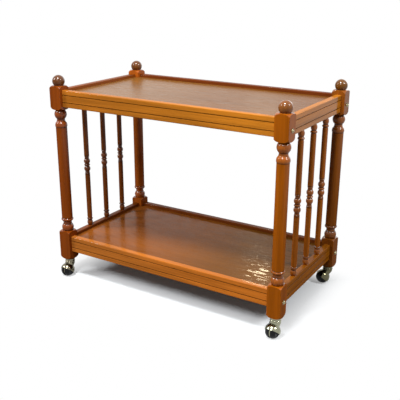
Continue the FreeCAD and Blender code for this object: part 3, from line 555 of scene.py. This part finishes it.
# ---- Turned spindles ----------------------------------------------------------------
# Three thin turned spindles stand in each end, their tenons glued into the end rails.
# The turning is the same above and below the thin ring at the middle.

SPINDLE_MIDDLE = 338.5 * MM
SPINDLE_SPACING = 85 * MM
SPINDLE_TONES = {"left": ("7C4216", "7C4216"), "right": ("A45A16", "A45A16")}
# Painted shade darkens the spindle's creases at these levels.
SPINDLE_SHADED_CREASES = [
    (SPINDLE_MIDDLE + side * offset * MM, 1.7 * MM)
    for side in (-1, 1)
    for offset in (3.8, 21, 26, 30.6, 180, 186.5)
]
SPINDLE_BEADS = [
    (SPINDLE_MIDDLE + low * MM, SPINDLE_MIDDLE + high * MM)
    for low, high in ((-204, -178), (-30, 30), (178, 204))
]


def spindle_edge():
    """The upper half's edge from the middle to the tenon's tip."""
    waist, shaft, foot, tenon = 6.9 * MM, 7.9 * MM, 5.5 * MM, 4 * MM
    edge = [(waist, 2.8 * MM), (waist, 4.8 * MM)]
    arc(edge, waist, 20 * MM, 11.2 * MM, 12)
    edge.append((waist, 26 * MM))
    arc(edge, waist, 30 * MM, 2.4 * MM, 6)
    edge += [(shaft, 30.2 * MM), (shaft, 75 * MM), (shaft, 120 * MM), (shaft, 173.5 * MM)]
    edge.append((waist, 178.5 * MM))
    arc(edge, waist, 185 * MM, 3.35 * MM, 8)
    edge.append((waist, 187 * MM))
    arc(edge, foot, 204.5 * MM, 16 * MM, 12)
    edge += [(tenon, 204.6 * MM), (tenon, 213 * MM)]
    return edge


upper_half = spindle_edge()
whole_edge = [(radius, -level) for radius, level in reversed(upper_half)]
arc(whole_edge, *upper_half[0], 2.85 * MM)
whole_edge += upper_half[1:]
spindle = turned("spindle", whole_edge, 32)
soften(spindle)
for side, side_x in (("left", -1), ("right", 1)):
    for number in (1, 2, 3):
        turning = {"shaded_creases": SPINDLE_SHADED_CREASES, "burnished": SPINDLE_BEADS}
        wood = stained_wood(f"spindle_wood_{side}_{number}", SPINDLE_TONES[side], 2, **turning)
        place = (POST_X * side_x, SPINDLE_SPACING * (number - 2), SPINDLE_MIDDLE)
        name = f"{side}_spindle_{number}"
        finished(spindle, f"turned_{name}", "frame", name, [wood], place)
bpy.data.objects.remove(spindle)

# ---- Frame bolts and hidden fastenings ---------------------------------------------------
# Brass dome-headed bolts go through the post blocks into barrel nuts in the long rails.
# Hidden pieces keep their own meshes: raw beech dowels, and nuts, sockets, stems and axles
# of plated steel.


def metal(name, code, polish):
    """Plated or polished metal with a faint cloud of handling marks."""
    material, wire, place = start_material(name)
    smear = place.noise((90.0, 90.0, 90.0), 3.0, 0.6)
    fleck = place.noise((900.0, 900.0, 900.0), 2.0, 0.5).spread(0.62, 0.75)
    colour = smear.spread(0.35, 0.75).mix(tone(code), tone(code, 0.825))
    roughness = smear * 0.06 + fleck * 0.1 + polish
    wire.surface({"Base Color": colour, "Metallic": 1.0, "Roughness": roughness})
    return material


SHANK_RADIUS, SHANK_LENGTH = 3 * MM, 78 * MM
WASHER_RADIUS, WASHER_HEIGHT = 6 * MM, 0.8 * MM
DOME_RADIUS, DOME_TOP, DOME_CURVE = 5 * MM, 5.3 * MM, 5.028 * MM
BOLT_RISE = 20 * MM


def dome_bolt():
    """One bolt along X from the post's face: shank, washer and dome."""
    edge = [(SHANK_RADIUS, -SHANK_LENGTH), (SHANK_RADIUS, 0), (WASHER_RADIUS, 0)]
    edge += [(WASHER_RADIUS, 0.6 * MM), (5.7 * MM, WASHER_HEIGHT), (DOME_RADIUS, WASHER_HEIGHT)]
    arc(edge, 0, DOME_TOP, DOME_CURVE, 10)
    bolt = turned("bolt", edge, 32)
    bolt.data.transform(Matrix.Rotation(math.radians(-90), 4, "Y"))
    soften(bolt)
    return bolt


bolt_brass = metal("bolt_brass", "948A6C", 0.12)
bolt = dome_bolt()
bolts = []
for side_x in (-1, 1):
    for side_y in (-1, 1):
        for foot in RAIL_FEET.values():
            one = bolt.copy()
            one.data = bolt.data.copy()
            spot = (side_x * (POST_X + POST_HALF_SIDE), side_y * POST_Y, foot + BOLT_RISE)
            facing = Matrix.Rotation(math.pi if side_x > 0 else 0, 4, "Z")
            one.data.transform(Matrix.Translation(spot) @ facing)
            bpy.context.scene.collection.objects.link(one)
            bolts.append(one)
clear_selection()
for one in bolts:
    one.select_set(True)
bpy.context.view_layer.objects.active = bolts[0]
bpy.ops.object.join()
finished(bolts[0], "dome_bolts", "frame", "frame_bolts", [bolt_brass])
bpy.data.objects.remove(bolts[0])
bpy.data.objects.remove(bolt)

plated_steel = metal("plated_steel", "C8C6C0", 0.3)
dowel_beech = stained_wood("dowel_beech", ("C8A070", "C8A070"), 2, lacquer=BARE, streaks=0.5)
kept_nodes = {
    "barrel_nuts": plated_steel,
    "locating_dowels": dowel_beech,
    "end_rail_dowels": dowel_beech,
}
for corner in CORNERS:
    for part in ("caster_socket", "caster_stem", "caster_axle"):
        kept_nodes[f"{part}_{corner}"] = plated_steel
for name, material in kept_nodes.items():
    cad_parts[name].data.materials.clear()
    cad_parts[name].data.materials.append(material)

# ---- Casters ---------------------------------------------------------------------------
# Each caster has a cast hood over two half-ball wheels of black plastic. The hood's neck
# leans from a collar of two rings into the ball, and all of it is finished in pale brass, its tone
# painted darker or lighter at each corner as shade and reflection.

TRAIL, AXLE_HEIGHT = 15 * MM, 20.019 * MM
AXLE_CENTRE = (TRAIL, 0, AXLE_HEIGHT)
HOOD_OUTER, HOOD_INNER = 22.1 * MM, 20.8 * MM
COLLAR_WAIST, COLLAR_RING, COLLAR_ROUND = 14.1 * MM, 4.8 * MM, 2.8 * MM
COLLAR_FOOT, COLLAR_TOP = 44.5 * MM, 56.3 * MM
# Each ring of the neck is a radius, a level and how far it leans out over the wheels.
NECK_RINGS = [
    (15 * MM, 28.02 * MM, 9.5 * MM),
    (15.4 * MM, 36.26 * MM, 3.8 * MM),
    (15.2 * MM, 41.5 * MM, 0.8 * MM),
    (COLLAR_WAIST, COLLAR_FOOT, 0.0),
]
RIM_TILT, RIM_REACH = math.radians(48), 2.6 * MM
WEB_THICKNESS, WEB_RADIUS, WEB_SEAT = 4.4 * MM, 17.5 * MM, 0.6 * MM
WHEEL_BALL, WHEEL_INNER_FACE, WHEEL_OUTER_FACE = 20.2 * MM, 2.7 * MM, 15.5 * MM
WHEEL_MARGIN, WHEEL_DISH, WHEEL_CAP = 2 * MM, 1.2 * MM, 4.5 * MM
AXLE_RADIUS, WHEEL_BORE, WHEEL_BORE_END = 2.5 * MM, 2.58 * MM, 12.7 * MM
# Each corner's hood has its own plate tone, darker at the back right and lighter at the front
# right: painted shade and reflection.
CASTERS = {
    "front_left": ("827C69", 274),
    "front_right": ("9A9A84", 267),
    "back_left": ("827C69", 87),
    "back_right": ("625F4A", 221),
}


def hood_ball(name, radius):
    """A ball round the middle of the axle."""
    clear_selection()
    bpy.ops.mesh.primitive_uv_sphere_add(
        segments=64, ring_count=32, radius=radius, location=AXLE_CENTRE
    )
    ball = bpy.context.object
    ball.name = name
    bpy.ops.object.transform_apply(location=True)
    return ball


def upright_disc(name, radius, thickness):
    """A disc across Y round the axle."""
    edge = [(radius, -thickness / 2), (radius, thickness / 2)]
    disc = turned(name, edge, 64)
    disc.data.transform(Matrix.Translation(AXLE_CENTRE) @ Matrix.Rotation(math.pi / 2, 4, "X"))
    return disc


def hood_mouth():
    """All that lies past the hood's tilted rim."""
    mouth = block("mouth", (RIM_REACH, -60 * MM, -60 * MM), (90 * MM, 60 * MM, 60 * MM))
    bpy.ops.object.mode_set(mode="OBJECT")
    mouth.data.transform(Matrix.Translation(AXLE_CENTRE) @ Matrix.Rotation(RIM_TILT, 4, "Y"))
    return mouth


def neck_ring(level):
    """The ring at one level on the smooth curve through the neck's rings."""
    rings = [Vector(ring) for ring in NECK_RINGS]
    levels = [ring.y for ring in rings]
    for span in range(1, len(levels)):
        for i in range(len(levels) - span):
            share = (level - levels[i]) / (levels[i + span] - levels[i])
            rings[i] = rings[i].lerp(rings[i + 1], share)
    return tuple(rings[0])


def cast_hood():
    """A hollow part ball with a leaning neck and collar, and the web that carries the axle."""
    hood = hood_ball("hood", HOOD_OUTER)
    foot = NECK_RINGS[0][1]
    neck = [neck_ring(foot + (COLLAR_FOOT - foot) * i / 14) for i in range(15)]
    collar = [(COLLAR_WAIST, COLLAR_FOOT)]
    arc(collar, COLLAR_WAIST, COLLAR_FOOT + COLLAR_RING, COLLAR_ROUND, 8)
    collar.append((COLLAR_WAIST, COLLAR_TOP - COLLAR_RING))
    arc(collar, COLLAR_WAIST, COLLAR_TOP, COLLAR_ROUND, 8)
    cut_with(hood, turned("neck", neck + collar[1:], 64), "UNION")
    cut_with(hood, hood_ball("cavity", HOOD_INNER), "DIFFERENCE")
    cut_with(hood, hood_mouth(), "DIFFERENCE")
    web = upright_disc("web", HOOD_INNER + WEB_SEAT, WEB_THICKNESS)
    cut_with(web, hood_mouth(), "DIFFERENCE")
    cut_with(web, upright_disc("web_foot", WEB_RADIUS, WEB_THICKNESS), "UNION")
    cut_with(hood, web, "UNION")
    cut_with(hood, upright_disc("axle_bore", AXLE_RADIUS, 3 * WEB_THICKNESS), "DIFFERENCE")
    soften(hood, 30)
    return hood


def half_ball_wheel(side):
    """The wheel on one side of the web, with a dished outer face and a cap over the axle."""
    rim = math.sqrt(WHEEL_BALL**2 - WHEEL_OUTER_FACE**2)
    dish = WHEEL_OUTER_FACE - WHEEL_DISH
    dish_edge = rim - WHEEL_MARGIN
    edge = [(WHEEL_BORE, WHEEL_BORE_END), (WHEEL_BORE, WHEEL_INNER_FACE)]
    edge.append((AXLE_HEIGHT, WHEEL_INNER_FACE))
    arc(edge, rim, WHEEL_OUTER_FACE, WHEEL_BALL, 16)
    edge += [(dish_edge, WHEEL_OUTER_FACE), (dish_edge - WHEEL_DISH, dish)]
    edge += [(WHEEL_CAP + WHEEL_DISH, dish), (WHEEL_CAP, WHEEL_OUTER_FACE), (0, WHEEL_OUTER_FACE)]
    wheel = turned("wheel", edge, 64)
    lay = Matrix.Rotation(-side * math.pi / 2, 4, "X")
    wheel.data.transform(Matrix.Translation(AXLE_CENTRE) @ lay)
    soften(wheel, 30)
    return wheel


def black_plastic():
    """Black plastic, a little scuffed by the floor."""
    material, wire, place = start_material("wheel_plastic")
    scuff = place.noise((300.0, 300.0, 300.0), 3.0, 0.6)
    colour = scuff.spread(0.45, 0.8).mix(tone("060607"), tone("141416"))
    wire.surface({"Base Color": colour, "Roughness": scuff * 0.2 + 0.25, "Specular IOR Level": 0.2})
    return material


wheel_plastic = black_plastic()
hood = cast_hood()
wheels = {1: half_ball_wheel(-1), 2: half_ball_wheel(1)}
for corner, (side_x, side_y) in CORNERS.items():
    place = (POST_X * side_x, POST_Y * side_y, 0)
    hood_tone_with_painted_shade, degrees = CASTERS[corner]
    turn = math.radians(degrees)
    plate = [metal(f"painted_shade_hood_plate_{corner}", hood_tone_with_painted_shade, 0.1)]
    name = f"caster_hood_{corner}"
    finished(hood, f"cast_{name}", f"caster_{corner}", name, plate, place, turn)
    for number, wheel in wheels.items():
        name = f"caster_wheel_{corner}_{number}"
        body = f"wheel_{corner}_{number}"
        plastic = [wheel_plastic]
        finished(wheel, f"moulded_{name}", body, name, plastic, place, turn)
for model in (hood, *wheels.values()):
    bpy.data.objects.remove(model)

# ---- Floor, light and camera -------------------------------------------------------------
# A plain white floor in a white room. Soft lamps stand above, in front, at both ends and
# behind, and one small warm lamp far behind is the window that glints in the lower tray.


def seen_white(wire):
    """1 for the rays that show the surroundings, to the eye or in a reflection, and 0 for light."""
    path = "LightPath"
    seen = wire.node(path, output="Is Camera Ray") + wire.node(path, output="Is Glossy Ray")
    return seen + wire.node(path, output="Is Transmission Ray")


WHITE = (1, 1, 1, 1)
FILL_LIGHT = 0.12
world = bpy.data.worlds.new("studio")
bpy.context.scene.world = world
world.use_nodes = True
world.node_tree.nodes.clear()
sky = Wire(world.node_tree)
strength = seen_white(sky).spread(0.0, 1.0, FILL_LIGHT, 1.0)
glow = sky.node("Background", None, {"Color": WHITE, "Strength": strength})
sky.node("OutputWorld", None, {"Surface": glow})

clear_selection()
bpy.ops.mesh.primitive_plane_add(size=30)
floor = bpy.context.object
floor.name = "floor"
PAPER_BOUNCE, PAPER_SHOWN = (0.25, 0.25, 0.25, 1), (0.89, 0.92, 0.945, 1)


def floor_paper():
    """Paper that keeps the shadow under the trolley and runs out to plain white round it. Its white
    glow begins inside the footprint, a painted lightening of the shadow's rim, and a faint glow
    lifts the shadow's core; the paper seen is tinted cool against the warm light bounced into the
    shadow.
    """
    material, wire, place = start_material("floor_paper")
    outside = [place.part(axis).size() - reach for axis, reach in ((0, POST_X), (1, POST_Y))]
    past = wire.node("Math", {"operation": "MAXIMUM"}, {0: outside[0], 1: outside[1]})
    seen = seen_white(wire).spread(0.0, 1.0)
    colour = seen.mix(PAPER_BOUNCE, PAPER_SHOWN)
    paper = wire.node("BsdfDiffuse", None, {"Color": colour, "Roughness": 1.0})
    white = wire.node("Emission", None, {"Color": WHITE, "Strength": 1.0})
    # Painted light: the white glow fades in from inside the footprint, lightening the shadow's rim,
    # and never drops below 0.01 in its core.
    shadow_fading_glow = seen * past.spread(-0.085, 0.105, 0.01, 1.0)
    shown = wire.node("MixShader", None, {0: shadow_fading_glow, 1: paper, 2: white})
    wire.node("OutputMaterial", None, {"Surface": shown})
    return material


floor.data.materials.append(floor_paper())


def soft_lamp(name, place, aim, size, power, height=None, colour=(1, 1, 1)):
    """A glowing panel in metres and watts that faces the aim, square unless given a height."""
    lamp = bpy.data.lights.new(name, "AREA")
    lamp.shape = "RECTANGLE"
    lamp.color = colour
    lamp.size, lamp.size_y = size, height or size
    lamp.energy = power
    holder = bpy.data.objects.new(name, lamp)
    holder.location = place
    holder.rotation_euler = (Vector(aim) - Vector(place)).to_track_quat("-Z", "Y").to_euler()
    bpy.context.scene.collection.objects.link(holder)


MIDDLE = (0, 0, 0.35)
soft_lamp("overhead", (0.1, -1.15, 3.1), (0, 0, 0.3), 0.6, 85)
soft_lamp("front", (0.35, -2.4, 2.4), MIDDLE, 0.7, 30)
soft_lamp("left", (-1.92, -1.34, 1.7), MIDDLE, 0.5, 30)
soft_lamp("right", (2.07, 0.0, 2.09), MIDDLE, 0.5, 34)
soft_lamp("rear", (0.3, 2.9, 0.8), MIDDLE, 1.8, 13)
soft_lamp("glint", (-1.94, 4.46, 2.52), MIDDLE, 0.24, 3.6, 0.09, (1, 0.84, 0.56))

CAMERA_PLACE = (0.9929, -1.6202, 0.9246)
CAMERA_SENSOR, CAMERA_LENS = 36, 59.28
CAMERA_TURN, CAMERA_TILT, CAMERA_ROLL = (math.radians(a) for a in (31.289, 19.25, 0.304))
camera = bpy.data.objects.new("camera", bpy.data.cameras.new("camera"))
camera.data.sensor_width = CAMERA_SENSOR
camera.data.lens = CAMERA_LENS
aim = Matrix.Rotation(CAMERA_TURN, 4, "Z") @ Matrix.Rotation(math.pi / 2 - CAMERA_TILT, 4, "X")
camera.matrix_world = Matrix.Translation(CAMERA_PLACE) @ aim @ Matrix.Rotation(CAMERA_ROLL, 4, "Z")
bpy.context.scene.collection.objects.link(camera)
bpy.context.scene.camera = camera
bpy.context.scene.view_settings.view_transform = "Standard"
